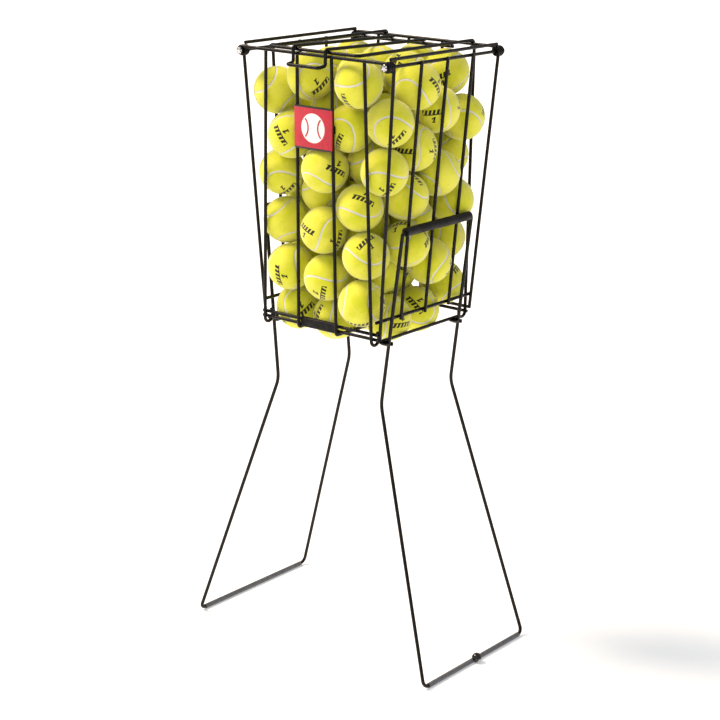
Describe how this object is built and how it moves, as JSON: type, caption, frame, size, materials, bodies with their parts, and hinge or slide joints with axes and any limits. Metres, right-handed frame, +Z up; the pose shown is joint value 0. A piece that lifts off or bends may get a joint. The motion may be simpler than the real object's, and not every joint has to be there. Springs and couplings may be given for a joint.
{
  "type": "tennis ball hopper",
  "caption": "Tapered wire basket for tennis balls with a hinged latching wire lid, standing on wire legs that swing up to become the carrying handles",
  "frame": {"origin": "on the floor below the middle of the basket, midway between the two leg loops", "axes": "+Z up, -Y towards the badge and latch side, +X towards the leg loop that carries the clip"},
  "size_m": [0.4424, 0.2941, 0.8876],
  "materials": {
    "ball_felt": "matte",
    "foot_sleeve": "satin",
    "badge": "gloss",
    "strap": "satin",
    "push_cap": "polished",
    "black_sleeve": "matte",
    "black_plastic": "satin",
    "leg_wire": "gloss",
    "basket_wire": "gloss"
  },
  "bodies": {
    "basket": {"badge_plate": "badge", "badge_strap": "strap", "balls_layer_1": "ball_felt", "balls_layer_2": "ball_felt", "balls_layer_3": "ball_felt", "balls_layer_4": "ball_felt", "balls_layer_5": "ball_felt", "balls_layer_6": "ball_felt", "balls_layer_7": "ball_felt", "base_grip": "black_sleeve", "bottom_side_rails": "basket_wire", "front_frame_wire": "basket_wire", "inner_u_wires": "basket_wire", "leg_catches": "black_plastic", "lower_cross_wires": "basket_wire", "lower_side_wires": "basket_wire", "outer_uprights": "basket_wire", "pivot_sleeves": "black_sleeve", "rear_frame_wire": "basket_wire", "rim_rods": "basket_wire", "rod_caps": "push_cap", "side_wires": "basket_wire", "upper_side_rods": "basket_wire"},
    "left_leg": {"left_leg_wire": "leg_wire", "left_foot_sleeve": "foot_sleeve"},
    "right_leg": {"right_leg_wire": "leg_wire", "right_foot_sleeve": "foot_sleeve", "handle_clip": "black_plastic"},
    "lid": {"lid_frame_wire": "basket_wire", "lid_latch_wire": "basket_wire", "lid_cross_wire": "basket_wire"}
  },
  "joints": [
    {"name": "left_leg_swing", "type": "hinge", "parent": "basket", "child": "left_leg", "pos_m": [-0.12347, 0, 0.6403], "axis": [0, 1, 0], "range_deg": [0, 182.6]},
    {"name": "right_leg_swing", "type": "hinge", "parent": "basket", "child": "right_leg", "pos_m": [0.12347, 0, 0.6403], "axis": [0, -1, 0], "range_deg": [0, 182.6]},
    {"name": "lid_hinge", "type": "hinge", "parent": "basket", "child": "lid", "pos_m": [0, 0.1323, 0.8754], "axis": [-1, 0, 0], "range_deg": [0, 180]}
  ]
}
